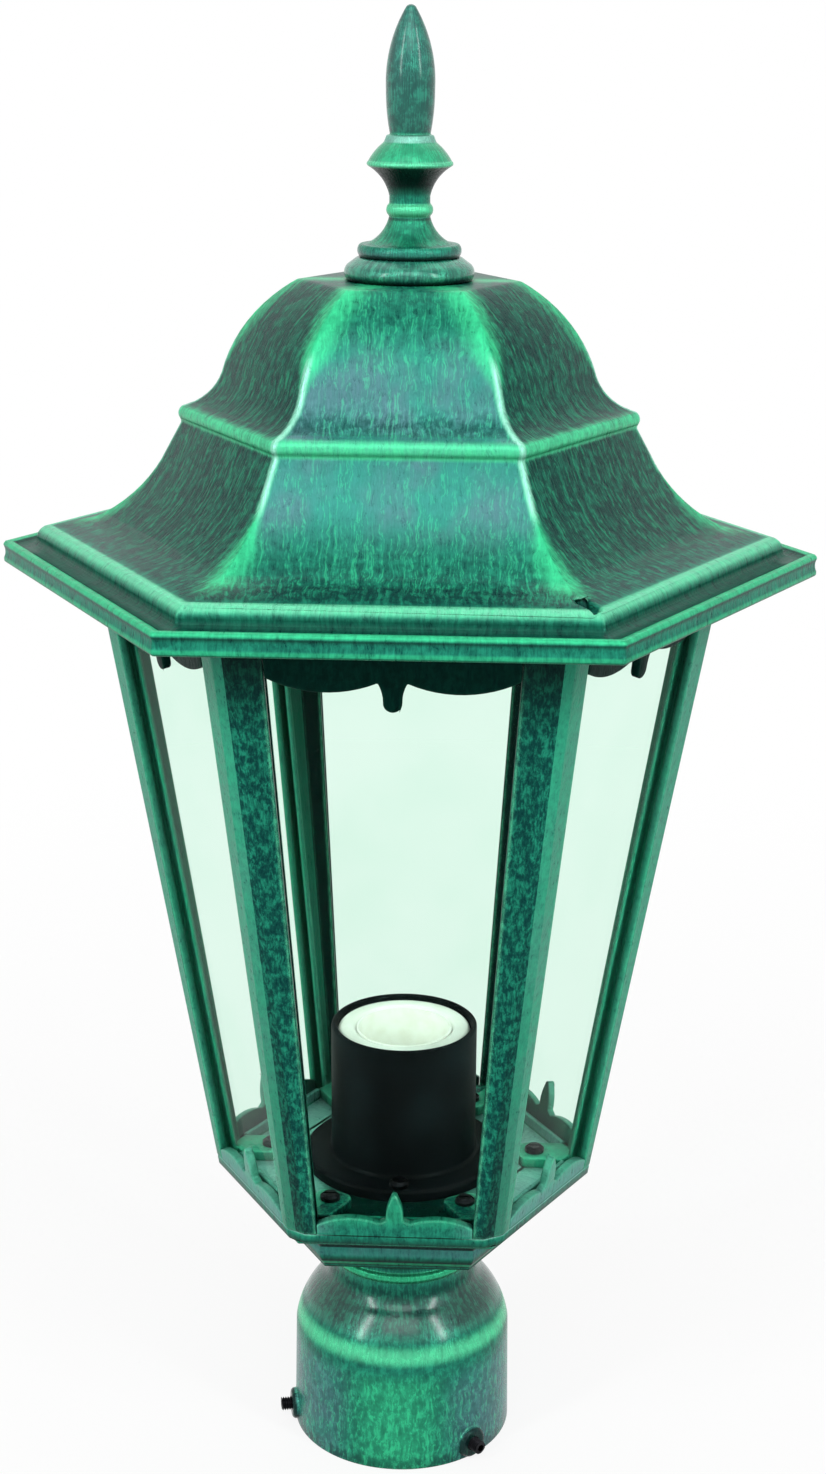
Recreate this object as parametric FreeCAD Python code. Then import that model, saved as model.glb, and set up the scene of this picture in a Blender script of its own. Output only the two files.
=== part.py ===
import FreeCAD, Part
import math
import os

# Victorian street lantern: a six-sided glazed cage on a round pole socket, with a lift-off
# ogee roof and a screwed finial. Millimetres, +Z up, origin at the centre of the socket's rim.
# Corners of every hexagon lie at 0, 60, 120 ... degrees, and a glazed face looks along -Y.
# A radius of a six-sided form is its corner radius. A bulge is how far an arc's middle stands
# out from the straight line between its ends.

V = FreeCAD.Vector
SIDES = 6
STEP_DEG = 360 / SIDES
COS_HALF = math.cos(math.pi / SIDES)

# Fits between pieces
thread_gap = 0.05
pass_gap = 0.3
slip_gap = 0.15
butt_gap = 0.1

# How far fused shapes reach into each other, and cutting shapes past what they cut
sink = 0.5
past = 1.0

# Pole socket
socket_r = 32.5
socket_wall = 2.0
socket_taper = 0.5
pole_depth = 30.0
pole_stop = 2.5
shoulder_band = 3.0
shoulder_r = 24.1
shoulder_rise = 14.6
shoulder_bulge = 1.4
dome_rise = 16.6
dome_wall = 3.0
dome_bulge_inside = 2.7
neck_r = 21.5
neck_wall = 4.5
neck_length = 19.0
neck_hollow = 1.0
bead_up = 6.0
bead_height = 3.0
bead_proud = 1.0

# Set screws of the socket
set_screws = 3
set_screw_first_deg = -48.0
set_screw_r = 2.0
set_screw_length = 6.2
set_screw_z = 5.0
set_screw_back = 0.4
set_screw_point = 0.5
key_across = 2.0
key_depth = 1.6
boss_r = 4.6
boss_proud = 1.5
boss_chamfer = 0.7

# Cage: corner radii, height and the posts' section
cage_r_bottom = 56.3
cage_r_top = 87.9
cage_height = 182.7
leg_bottom = 6.7
leg_top = 11.3
leg_wall = 2.4
post_nose = 3.4
groove_depth = 3.0
groove_gap = 0.15
lip_wall = 1.6
lug_in = 0.4
lug_round = 3.2
lug_wall = 3.0
lug_hole_in = 4.9
foot_screw_in = 10.7
glass_wall = 2.5
glass_edge_gap = 0.3

# Base tray: floor, fence with spikes, curb and the moulding under the floor
floor_wall = 3.0
mould_height = 14.5
mould_step_in = 2.0
mould_band = 1.2
mould_cove = 6.0
mould_cove_hollow = 1.2
mould_waist_in = 13.0
mould_foot_in = 15.0
mould_foot = 1.0
mould_foot_bulge = 1.0
mould_wall = 3.5
hub_wall = 3.0
hub_sink = 2.0
curb_height = 3.0
fence_side = 6.2
fence_lobe_bulge = 2.1
fence_dip = 7.3
fence_dip_half = 4.2
spike_half = 2.4
spike_root = 8.3
spike_bulge = 0.5
spike_tip_half = 0.9
spike_height = 16.6

# Top ring: flange, valance with pendants, and locating lip
ring_wall = 2.8
ring_land = 7.0
valance_side = 12.2
valance_lobe_bulge = 3.2
valance_root = 13.2
pendant_half = 3.7
pendant_neck_half = 2.4
pendant_waist = 0.35
pendant_drop = 21.0
pendant_round = 2.5
lip_height = 3.0
lip_width = 2.6
seat_gap = 0.4
head_gap = 0.3

# Roof: radii, heights above its seat on the ring, and steps inwards, each from the one before
brim_r = 112.0
brim_edge = 4.9
brim_drip = 1.2
brim_bead = 1.4
brim_hollow = 0.45
brim_round = 1.2
brim_lip = 3.0
brim_wall = 2.6
groove_in = 6.2
groove_width = 6.8
groove_sink = 1.3
groove_rise = 0.5
step_in = 7.8
step_height = 9.4
step_bulge = 1.6
knee_in = 12.0
knee_height = 12.0
skirt_r = 66.0
skirt_height = 31.2
skirt_hollow = 2.3
ledge_r = 61.6
ledge_low = 39.2
ledge_high = 43.0
ledge_bulge = 1.0
waist_r = 50.6
waist_height = 52.4
waist_hollow = 1.8
crown_r = 29.8
crown_height = 77.4
dome_bulge = 3.3
roof_wall = 2.6
seat_r = 76.0
seat_rib = 6.5

# Casting flaw on the stepped line beside the roof's front right corner
flaw_deg = -60.0
flaw_r = 95.5
flaw_length = 12.0
flaw_width = 4.6
flaw_above = 1.2
flaw_depth = 1.5
flaw_taper = 0.6

# Crown disc
disc_r = 17.3
disc_edge = 4.0
disc_round = 0.8
disc_cone = 2.0

# Finial, from its foot up, and its stud
finial_disc_r = 13.8
finial_disc_edge = 3.4
finial_disc_round = 0.7
cove_r = 11.4
cove_height = 7.2
cove_hollow = 1.15
finial_neck_r = 5.4
finial_bead = 3.2
finial_bead_bulge = 0.8
throat_height = 2.0
flare_r = 11.0
flare_height = 7.6
flare_hollow = 1.0
flare_edge = 1.2
flare_edge_bulge = 0.35
bell_height = 4.8
bell_bulge = 0.35
collar_r = 6.9
collar_height = 1.8
collar_top_r = 6.2
collar_step = 0.2
spire_root_r = 5.3
spire_r = 6.4
spire_height = 32.4
spire_wide_at = 11.5
spire_low_bulge = 0.3
spire_bulge = 1.5
spire_ball_r = 1.6
spire_ball_deg = 25.0
stud_r = 3.0
stud_in_finial = 16.0
stud_end_gap = 0.5
stud_below_seat = 6.5
stud_point = 0.6

# Bridge bar and its nut
bar_width = 12.0
bar_wall = 2.5
bar_round = 2.4
bar_end_gap = 1.0
bar_screw_in = 4.0
nut_across = 10.0
nut_height = 5.0
nut_chamfer = 0.08

# Lamp holder: shroud, ceramic insulator, screw shell and centre contact
shroud_r = 21.25
shroud_wall = 1.8
shroud_height = 43.3
shroud_foot_r = 29.0
shroud_foot = 3.5
shroud_chamfer = 0.8
rim_chamfer = 0.6
shelf_up = 12.5
shelf_wall = 3.5
shelf_in = 2.5
insulator_floor = 4.5
insulator_below_rim = 1.2
insulator_chamfer = 0.8
shell_r = 13.3
shell_wall = 0.6
shell_below_rim = 1.6
shell_hole_r = 8.0
contact_width = 6.0
contact_wall = 0.6
contact_span = 7.0
contact_foot = 2.2
contact_rise = 3.4
contact_sink = 3.0

# Cable nipple with nuts and washers
nipple_r = 5.0
nipple_bore_r = 3.5
nipple_past_nut = 2.5
nipple_chamfer = 0.6
nipple_nut_across = 14.0
nipple_nut_height = 5.0
washer_r = 9.5
washer_wall = 1.0

# Small slotted screws and where they sit
screw_r = 1.5
screw_point = 0.4
screw_head_r = 2.8
screw_head_top_r = 1.9
screw_head_height = 1.8
screw_head_side = 1.0
slot_width = 0.7
slot_depth = 0.8
shroud_screw_r = 25.3
terminal_r = 10.5
terminal_length = 3.0
terminal_hole = 3.4
earth_r = 37.0
earth_deg = 30.0

# Heights and depths worked out from the sizes above
shoulder_z = pole_depth + shoulder_band
neck_z = shoulder_z + dome_rise
neck_floor_z = neck_z - dome_wall
neck_top = neck_z + neck_length
cage_z = neck_top + mould_height
floor_z = cage_z + floor_wall
seat_z = cage_z + cage_height
flange_z = seat_z - ring_wall
crown_z = seat_z + crown_height
finial_z = crown_z + disc_edge + disc_cone
shelf_z = floor_z + shelf_up
rim_z = floor_z + shroud_height
bore_r = socket_r - socket_wall
groove_r = brim_r - groove_in
step_r = groove_r - step_in
knee_r = step_r - knee_in
glass_depth = leg_wall + groove_gap
lip_depth = glass_depth + glass_wall + groove_gap
post_depth = lip_depth + lip_wall
lug_half = (leg_bottom - lug_in) * COS_HALF
bar_reach = seat_r * COS_HALF - seat_gap - lip_width - bar_end_gap
bar_screw_y = bar_reach - bar_screw_in
tilt = math.atan((cage_r_top - cage_r_bottom) * COS_HALF / cage_height)


def rotated(shape, degrees):
    copy = shape.copy()
    copy.rotate(V(0, 0, 0), V(0, 0, 1), degrees)
    return copy


def around(r, degrees):
    a = math.radians(degrees)
    return r * math.cos(a), r * math.sin(a)


def edges_through(start, steps, place):
    """Lines and arcs from start. A step is an end point, and a third number makes it an arc
    with that bulge to the right of the way."""
    edges = []
    here = start
    for step in steps:
        end = step[:2]
        if len(step) == 3:
            ahead = (end[0] - here[0], end[1] - here[1])
            out = step[2] / math.hypot(*ahead)
            middle = ((here[0] + end[0]) / 2 + ahead[1] * out, (here[1] + end[1]) / 2 - ahead[0] * out)
            edges.append(Part.Arc(place(*here), place(*middle), place(*end)).toShape())
        else:
            edges.append(Part.makeLine(place(*here), place(*end)))
        here = end
    return edges


def closed_face(start, steps, place):
    return Part.Face(Part.Wire(edges_through(start, list(steps) + [start], place)))


def turned(start, steps):
    """Solid of revolution from a closed outline of radius and height."""
    face = closed_face(start, steps, lambda r, z: V(r, 0, z))
    return face.revolve(V(0, 0, 0), V(0, 0, 1), 360)


def six_sided(start, steps):
    """Solid with six mitred sides from a closed outline of corner radius and height."""
    face = closed_face(start, steps, lambda r, z: V(r * COS_HALF, 0, z))
    box = face.BoundBox
    reach = box.XMax + past
    half = reach * math.tan(math.pi / SIDES)
    low = box.ZMin - past
    face.translate(V(0, -half, 0))
    side = face.extrude(V(0, 2 * half, 0))
    corners = [V(0, 0, low), V(reach, -half, low), V(reach, half, low), V(0, 0, low)]
    side = side.common(Part.Face(Part.makePolygon(corners)).extrude(V(0, 0, box.ZLength + 2 * past)))
    sides = [rotated(side, STEP_DEG * (k + 0.5)) for k in range(SIDES)]
    return sides[0].multiFuse(sides[1:]).removeSplitter()


def six_sided_bar(r, low, high):
    return six_sided((0, low), [(r, low), (r, high), (0, high)])


def cylinder(r, low, high, x=0.0, y=0.0):
    return Part.makeCylinder(r, high - low, V(x, y, low))


def drill(r, low, high, x=0.0, y=0.0):
    """Cylinder that cuts a hole through everything between two heights."""
    return cylinder(r, low - past, high + past, x, y)


def hexagon_nut(across, hole_r, low, high):
    r = across / 2 / COS_HALF
    chamfer = across * nut_chamfer
    cone = turned((0, low), [(r - chamfer, low), (r, low + chamfer), (r, high - chamfer),
                             (r - chamfer, high), (0, high)])
    return six_sided_bar(r, low, high).common(cone).cut(drill(hole_r, low, high))


def pan_screw(x, y, seat, length):
    """Slotted screw standing head up, with its head's underside at the seat."""
    low = seat - length
    top = seat + screw_head_height
    body = turned((0, low), [(screw_r - screw_point, low), (screw_r, low + screw_point), (screw_r, seat),
                             (screw_head_r, seat), (screw_head_r, seat + screw_head_side),
                             (screw_head_top_r, top), (0, top)])
    slot = Part.makeBox(2 * (screw_head_r + past), slot_width, slot_depth + past,
                        V(-screw_head_r - past, -slot_width / 2, top - slot_depth))
    body = body.cut(slot)
    body.translate(V(x, y, 0))
    return body


def cage_r(z):
    """Corner radius of the tapering cage at height z."""
    return cage_r_bottom + (cage_r_top - cage_r_bottom) * (z - cage_z) / cage_height


def leg(z):
    """Width of a post's flange along a face at height z."""
    return leg_bottom + (leg_top - leg_bottom) * (z - cage_z) / cage_height


def opening_half(z):
    """Half of the clear width between two posts, along a face."""
    return cage_r(z) / 2 - leg(z)


def cage_frustum(low, high):
    """Solid between two heights inside the cage's outer faces, with its corners cut flat."""
    wires = []
    for z in (low, high):
        points = []
        for k in range(SIDES):
            turn = FreeCAD.Rotation(V(0, 0, 1), STEP_DEG * k)
            for side in (-1, 1):
                points.append(turn.multVec(V(cage_r(z) - post_nose / 2, side * post_nose * COS_HALF, z)))
        wires.append(Part.makePolygon(points + points[:1]))
    return Part.makeLoft(wires, True, True)


def on_face(shape, k):
    """Lay a shape drawn flat (x along, y up the slope, z outwards) on face k of the cage."""
    along = V(0, 1, 0)
    up = V(math.sin(tilt), 0, math.cos(tilt))
    out = V(math.cos(tilt), 0, -math.sin(tilt))
    foot = V(cage_r_bottom * COS_HALF, 0, cage_z)
    laid = shape.copy()
    laid.Placement = FreeCAD.Placement(FreeCAD.Matrix(along.x, up.x, out.x, foot.x,
                                                      along.y, up.y, out.y, foot.y,
                                                      along.z, up.z, out.z, foot.z,
                                                      0, 0, 0, 1))
    return rotated(laid, STEP_DEG * (k + 0.5))


def face_plate(start, steps, depth, wall, k):
    """Plate in a cage face: outline of distance along and height, its outer side at the depth."""

    def lay(along, z):
        return V(along, (z - cage_z - depth * math.sin(tilt)) / math.cos(tilt), -depth - wall)

    return on_face(closed_face(start, steps, lay).extrude(V(0, 0, wall)), k)


def set_screw_deg(k):
    return set_screw_first_deg + 360 / set_screws * k


def make_post_socket():
    """Cast socket: cylinder over the pole, round shoulder flowing into a neck, and screw bosses."""
    inner_r = neck_r - neck_wall
    hole_r = nipple_r + pass_gap
    bead_z = neck_z + bead_up
    body = turned(
        (bore_r, 0),
        [(socket_r, 0), (socket_r - socket_taper, shoulder_z),
         (shoulder_r, shoulder_z + shoulder_rise, shoulder_bulge), (neck_r, bead_z, -neck_hollow),
         (neck_r, bead_z + bead_height, bead_proud), (neck_r, neck_top), (inner_r, neck_top),
         (inner_r, neck_z), (hole_r, neck_z), (hole_r, neck_floor_z), (neck_r - dome_wall, neck_floor_z),
         (bore_r - pole_stop, pole_depth, -dome_bulge_inside), (bore_r, pole_depth)])
    for k in range(set_screws):
        boss = Part.makeCylinder(boss_r, socket_wall + boss_proud, V(bore_r, 0, set_screw_z), V(1, 0, 0))
        rim = [edge for edge in boss.Edges if edge.BoundBox.XMin > socket_r]
        body = body.fuse(rotated(boss.makeChamfer(boss_chamfer, rim), set_screw_deg(k)))
    for k in range(set_screws):
        hole = Part.makeCylinder(set_screw_r + thread_gap, socket_r, V(neck_r, 0, set_screw_z), V(1, 0, 0))
        body = body.cut(rotated(hole, set_screw_deg(k)))
    return body.cut(cylinder(bore_r, -past, pole_depth))


def make_set_screw(k):
    """Socket set screw: key recess outside, point towards the pole."""
    tip = bore_r + set_screw_back
    end = tip + set_screw_length
    outline = [V(tip, 0, 0), V(tip, set_screw_r - set_screw_point, 0),
               V(tip + set_screw_point, set_screw_r, 0), V(end, set_screw_r, 0), V(end, 0, 0)]
    screw = Part.Face(Part.makePolygon(outline + outline[:1])).revolve(V(0, 0, 0), V(1, 0, 0), 360)
    key = six_sided_bar(key_across / 2 / COS_HALF, 0, key_depth + past)
    key.rotate(V(0, 0, 0), V(0, 1, 0), 90)
    key.translate(V(end - key_depth, 0, 0))
    screw = screw.cut(key)
    screw.translate(V(0, 0, set_screw_z))
    return rotated(screw, set_screw_deg(k))


def fence(k):
    """Low scalloped fence between two posts, with a spike in the middle."""
    base = floor_z - sink
    side = cage_z + fence_side
    dip = cage_z + fence_dip
    root = cage_z + spike_root
    tip = cage_z + spike_height - spike_tip_half
    foot = opening_half(base) - butt_gap
    end = opening_half(side) - butt_gap
    return face_plate(
        (-foot, base),
        [(foot, base), (end, side), (fence_dip_half, dip, fence_lobe_bulge), (spike_half, root),
         (spike_tip_half, tip, spike_bulge), (-spike_tip_half, tip, spike_tip_half),
         (-spike_half, root, spike_bulge), (-fence_dip_half, dip), (-end, side, fence_lobe_bulge)],
        0, leg_wall, k)


def curb(k):
    """Inner curb that keeps a pane's foot against the fence, between two posts' lugs."""
    base = floor_z - sink
    top = floor_z + curb_height
    beside_lug = (lug_half + post_depth / 2) / COS_HALF + butt_gap
    foot = cage_r(base) / 2 - beside_lug
    end = cage_r(top) / 2 - beside_lug
    return face_plate((-foot, base), [(foot, base), (end, top), (-end, top)], lip_depth, lip_wall, k)


def moulding():
    """Hollow stepped moulding under the tray's floor, with a round hub over the socket's neck."""
    step = cage_r_bottom - mould_step_in
    waist = cage_r_bottom - mould_waist_in
    foot = cage_r_bottom - mould_foot_in
    band_z = cage_z - mould_band
    cove_z = band_z - mould_cove
    foot_z = neck_top + mould_foot
    outside = six_sided(
        (0, neck_top),
        [(foot, neck_top), (foot, foot_z), (waist, cove_z, mould_foot_bulge),
         (step, band_z, -mould_cove_hollow), (step, cage_z), (0, cage_z)])
    hollow = six_sided(
        (0, neck_top - past),
        [(foot - mould_wall, neck_top - past), (foot - mould_wall, neck_top),
         (waist - mould_wall, cove_z), (waist - mould_wall, cage_z), (0, cage_z)])
    hub = cylinder(neck_r + hub_wall, neck_top - hub_sink, cage_z + past)
    return outside.cut(hollow.cut(hub))


def make_base_tray():
    """Cast tray: floor, six fences with spikes, curbs, and the stepped moulding under it."""
    tray = cage_frustum(cage_z, floor_z).fuse(moulding())
    for k in range(SIDES):
        tray = tray.fuse([fence(k), curb(k)])
    tray = tray.cut(drill(nipple_r + pass_gap, neck_top, floor_z))
    for x, y in floor_screw_places():
        tray = tray.cut(drill(screw_r + thread_gap, cage_z, floor_z, x, y))
    return tray.removeSplitter()


def foot_screw_r():
    """Distance of the screws in the posts' feet from the axis."""
    return cage_r(floor_z) - post_depth / COS_HALF - foot_screw_in


def head_screw_r():
    """Distance of the screws over the posts' heads from the axis, just inside the ring's lip."""
    return seat_r - (seat_gap + lip_width + screw_head_r) / COS_HALF - head_gap


def floor_screw_places():
    """Tapped holes in the floor: post feet, shroud foot and earth screw."""
    places = [around(foot_screw_r(), STEP_DEG * k) for k in range(SIDES)]
    places += [around(shroud_screw_r, 90), around(shroud_screw_r, -90)]
    places.append(around(earth_r, earth_deg))
    return places


def post_section(z):
    """Outline of a post at height z: two flanges, the two pane grooves and their inner lips."""
    r = cage_r(z)
    wide = leg(z)
    groove = wide - groove_depth

    def at(along, depth):
        return V(r - along / 2 - depth * COS_HALF, along * COS_HALF - depth / 2, z)

    half = [at(post_nose, 0), at(wide, 0), at(wide, leg_wall), at(groove, leg_wall),
            at(groove, lip_depth), at(wide, lip_depth), at(wide, post_depth)]
    mirrored = [V(p.x, -p.y, p.z) for p in reversed(half)]
    points = half + [V(r - post_depth / COS_HALF, 0, z)] + mirrored
    return Part.makePolygon(points + points[:1])


def lug(low, hole_r):
    """Flat lug with round corners in a post's inner corner, for a screw at that distance."""
    end = hole_r - lug_hole_in
    root = cage_r(low) - (post_depth - lip_wall / 2) / COS_HALF
    body = Part.makeBox(root - end, 2 * lug_half, lug_wall, V(end, -lug_half, low))
    ends = [edge for edge in body.Edges if edge.BoundBox.ZLength > sink and edge.BoundBox.XMax < end + sink]
    body = body.makeFillet(lug_round, ends)
    return body.common(six_sided_bar(root, low, low + lug_wall))


def make_post(k):
    """Cast corner post: tapering angle section with a lug at its foot and one at its head."""
    post = Part.makeLoft([post_section(floor_z), post_section(flange_z)], True, True)
    head_z = flange_z - lug_wall
    post = post.fuse([lug(floor_z, foot_screw_r()), lug(head_z, head_screw_r())])
    post = post.cut(drill(screw_r + pass_gap, floor_z, floor_z + lug_wall, foot_screw_r()))
    post = post.cut(drill(screw_r + thread_gap, head_z, flange_z, head_screw_r()))
    return rotated(post.removeSplitter(), STEP_DEG * k)


def make_pane(k):
    """Flat glass trapezoid, standing on the tray's floor in the grooves of two posts."""
    high = flange_z - glass_edge_gap - glass_wall * math.sin(tilt)
    lower = opening_half(floor_z) + groove_depth - glass_edge_gap
    upper = opening_half(high) + groove_depth - glass_edge_gap
    return face_plate((-lower, floor_z), [(lower, floor_z), (upper, high), (-upper, high)],
                      glass_depth, glass_wall, k)


def valance(k):
    """Plate under the ring between two posts: two lobes and a pendant drop."""
    top = flange_z + sink
    side = seat_z - valance_side
    root = seat_z - valance_root
    round_z = seat_z - pendant_drop + pendant_round
    wide = opening_half(top) - butt_gap
    end = opening_half(side) - butt_gap
    return face_plate(
        (-wide, top),
        [(-end, side), (-pendant_half, root, valance_lobe_bulge),
         (-pendant_neck_half, round_z, -pendant_waist), (pendant_neck_half, round_z, pendant_round),
         (pendant_half, root, -pendant_waist), (end, side, valance_lobe_bulge), (wide, top)],
        0, leg_wall, k)


def make_top_ring():
    """Ring over the posts: flange, locating lip for the roof and six scalloped valances."""
    ring = cage_frustum(flange_z, seat_z)
    ring = ring.cut(six_sided_bar(head_screw_r() - ring_land, flange_z - past, seat_z + past))
    lip_r = seat_r - seat_gap / COS_HALF
    lip_top = seat_z + lip_height
    lip = six_sided_bar(lip_r, seat_z - sink, lip_top)
    lip = lip.cut(six_sided_bar(lip_r - lip_width / COS_HALF, seat_z - past, lip_top + past))
    ring = ring.fuse([lip] + [valance(k) for k in range(SIDES)])
    for k in range(SIDES):
        x, y = around(head_screw_r(), STEP_DEG * k)
        ring = ring.cut(drill(screw_r + pass_gap, flange_z, seat_z, x, y))
    for y in (-bar_screw_y, bar_screw_y):
        ring = ring.cut(drill(screw_r + thread_gap, flange_z, seat_z, 0, y))
    return ring.removeSplitter()


def roof_outline(inset):
    """The roof's upper line from knee to crown, moved in and down by the inset."""

    def at(r, height, *bulge):
        return (max(r - inset / COS_HALF, 0), seat_z + height - inset, *bulge)

    return [at(knee_r, knee_height), at(skirt_r, skirt_height, -skirt_hollow),
            at(ledge_r, ledge_low), at(ledge_r, ledge_high, ledge_bulge),
            at(waist_r, waist_height, -waist_hollow), at(crown_r, crown_height, dome_bulge),
            at(0, crown_height)]


def make_roof():
    """Cast roof shell: dome, ledge, flared skirt, step, sunk band and rim, hollow underneath."""
    brim_z = seat_z + brim_edge
    drip_z = seat_z - brim_drip
    step_z = seat_z + step_height
    lip_r = brim_r - brim_lip
    groove_out = groove_r + groove_width / 2
    groove_back = groove_r - groove_width / 2
    shell = six_sided(
        (0, seat_z),
        [(lip_r, seat_z), (lip_r, drip_z), (brim_r, drip_z), (brim_r, drip_z + brim_bead),
         (brim_r, brim_z - brim_round, -brim_hollow),
         (brim_r - brim_round, brim_z, brim_round * (1 - math.cos(math.pi / 4))),
         (groove_out, brim_z), (groove_back, brim_z + groove_rise, -groove_sink),
         (step_r, step_z, step_bulge)] + roof_outline(0))
    cavity = six_sided((0, seat_z - past), [(step_r, seat_z - past), (step_r, step_z - roof_wall)]
                       + roof_outline(roof_wall))
    cavity = cavity.common(six_sided_bar(seat_r, seat_z - past, crown_z))
    rib_r = seat_r + seat_rib
    ceiling = step_z - roof_wall
    brim_ceiling = brim_z - groove_sink - brim_wall
    channel = six_sided(
        (rib_r, seat_z - past),
        [(lip_r, seat_z - past), (lip_r, brim_ceiling), (groove_back, brim_ceiling),
         (step_r, ceiling), (rib_r, ceiling)])
    roof = shell.cut(cavity).cut(channel).cut(drill(stud_r + pass_gap, seat_z, crown_z))
    return roof.cut(casting_flaw()).removeSplitter()


def casting_flaw():
    """Ragged gouge along the stepped line beside one corner."""
    top = seat_z + step_height + flaw_above
    bottom = seat_z + step_height - flaw_depth
    ragged = [(-0.50, -0.35), (-0.22, -0.5), (0.12, -0.28), (0.5, -0.42),
              (0.42, 0.25), (0.08, 0.5), (-0.2, 0.3), (-0.46, 0.44)]
    wires = []
    for scale, z in ((flaw_taper, bottom), (1, top)):
        points = [V(flaw_r + u * flaw_length * scale, v * flaw_width * scale, z) for u, v in ragged]
        wires.append(Part.makePolygon(points + points[:1]))
    return rotated(Part.makeLoft(wires, True, True), flaw_deg)


def make_crown_disc():
    """Turned disc between the roof's crown and the finial."""
    hole = stud_r + pass_gap
    side = disc_r - disc_round
    return turned((hole, crown_z),
                  [(side, crown_z), (side, crown_z + disc_edge, disc_round),
                   (finial_disc_r, finial_z), (hole, finial_z)])


def make_finial():
    """Finial: disc, cove, bead, flared skirt, collar and ogive spire, tapped for its stud."""
    side = finial_disc_r - finial_disc_round
    disc = finial_z + finial_disc_edge
    neck = disc + cove_height
    throat = neck + finial_bead + throat_height
    flare = throat + flare_height
    bell = flare + flare_edge
    collar = bell + bell_height
    spire = collar + collar_height + collar_step
    tip = spire + spire_height
    ball_z = tip - spire_ball_r
    ball_x, ball_up = around(spire_ball_r, spire_ball_deg)
    ball_bulge = spire_ball_r * (1 - math.cos(math.radians((90 - spire_ball_deg) / 2)))
    body = turned(
        (0, finial_z),
        [(side, finial_z), (side, disc, finial_disc_round), (cove_r, disc),
         (finial_neck_r, neck, -cove_hollow), (finial_neck_r, neck + finial_bead, finial_bead_bulge),
         (finial_neck_r, throat), (flare_r, flare, -flare_hollow), (flare_r, bell, flare_edge_bulge),
         (collar_r, collar, bell_bulge), (collar_top_r, collar + collar_height), (spire_root_r, spire),
         (spire_r, spire + spire_wide_at, spire_low_bulge), (ball_x, ball_z + ball_up, spire_bulge),
         (0, tip, ball_bulge)])
    return body.cut(cylinder(stud_r + thread_gap, finial_z - past, finial_z + stud_in_finial + stud_end_gap))


def make_finial_stud():
    """Threaded stud from the finial down through roof, bridge bar and nut."""
    low = seat_z - stud_below_seat
    high = finial_z + stud_in_finial
    return turned((0, low), [(stud_r - stud_point, low), (stud_r, low + stud_point),
                             (stud_r, high - stud_point), (stud_r - stud_point, high), (0, high)])


def make_bridge_bar():
    """Flat steel bar across the top ring, drilled for the stud and two screws."""
    top = seat_z + bar_wall
    bar = Part.makeBox(bar_width, 2 * bar_reach, bar_wall, V(-bar_width / 2, -bar_reach, seat_z))
    bar = bar.makeFillet(bar_round, [edge for edge in bar.Edges if edge.BoundBox.ZLength > sink])
    bar = bar.cut(drill(stud_r + pass_gap, seat_z, top))
    for y in (-bar_screw_y, bar_screw_y):
        bar = bar.cut(drill(screw_r + pass_gap, seat_z, top, 0, y))
    return bar


def make_lamp_shroud():
    """Black tube of the lamp holder: round foot, straight wall, bevelled rim and an inner shelf."""
    bore = shroud_r - shroud_wall
    shelf = bore - shelf_in
    foot_top = floor_z + shroud_foot
    rim_side = rim_z - rim_chamfer
    tube = turned(
        (bore, floor_z),
        [(shroud_foot_r, floor_z), (shroud_foot_r, foot_top - shroud_chamfer),
         (shroud_foot_r - shroud_chamfer, foot_top), (shroud_r + shroud_chamfer, foot_top),
         (shroud_r, foot_top + shroud_chamfer), (shroud_r, rim_side), (shroud_r - rim_chamfer, rim_z),
         (bore + rim_chamfer, rim_z), (bore, rim_side), (bore, shelf_z), (shelf, shelf_z),
         (shelf, shelf_z - shelf_wall), (bore, shelf_z - shelf_wall)])
    for y in (-shroud_screw_r, shroud_screw_r):
        tube = tube.cut(drill(screw_r + pass_gap, floor_z, foot_top, 0, y))
    return tube


def make_lamp_insulator():
    """White ceramic cup that stands on the shroud's shelf and holds the screw shell."""
    outer = shroud_r - shroud_wall - slip_gap
    inner = shell_r + shell_wall + slip_gap
    top = rim_z - insulator_below_rim
    side = top - insulator_chamfer
    floor = shelf_z + insulator_floor
    cup = turned(
        (0, shelf_z),
        [(outer, shelf_z), (outer, side), (outer - insulator_chamfer, top),
         (inner + insulator_chamfer, top), (inner, side), (inner, floor), (shell_hole_r, floor),
         (shell_hole_r, floor - contact_sink), (0, floor - contact_sink)])
    for x in (-terminal_r, terminal_r):
        cup = cup.cut(cylinder(screw_r + thread_gap, shelf_z - past, shelf_z + terminal_hole, x))
    return cup


def make_lamp_screw_shell():
    """Metal shell that takes the lamp cap's thread, with a holed bottom."""
    low = shelf_z + insulator_floor
    top = rim_z - shell_below_rim
    return turned((shell_hole_r, low),
                  [(shell_r + shell_wall, low), (shell_r + shell_wall, top), (shell_r, top),
                   (shell_r, low + shell_wall), (shell_hole_r, low + shell_wall)])


def make_lamp_contact():
    """Bent spring strip in the recess of the insulator's floor, under the shell's hole."""
    low = shelf_z + insulator_floor - contact_sink
    foot_top = low + contact_wall
    arch = contact_rise - contact_wall
    inside = contact_span - contact_foot
    outside = inside + contact_wall
    strip = closed_face((-contact_span, low),
                        [(-inside, low), (inside, low, -arch), (contact_span, low),
                         (contact_span, foot_top), (outside, foot_top), (-outside, foot_top, arch),
                         (-contact_span, foot_top)],
                        lambda x, z: V(x, -contact_width / 2, z))
    return strip.extrude(V(0, contact_width, 0))


def make_terminal_screws():
    """Two screws up into the insulator from below, for the wires."""
    screws = []
    for x in (-terminal_r, terminal_r):
        screw = pan_screw(0, 0, 0, terminal_length)
        screw.rotate(V(0, 0, 0), V(1, 0, 0), 180)
        screw.translate(V(x, 0, shelf_z))
        screws.append(screw)
    return Part.makeCompound(screws)


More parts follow.
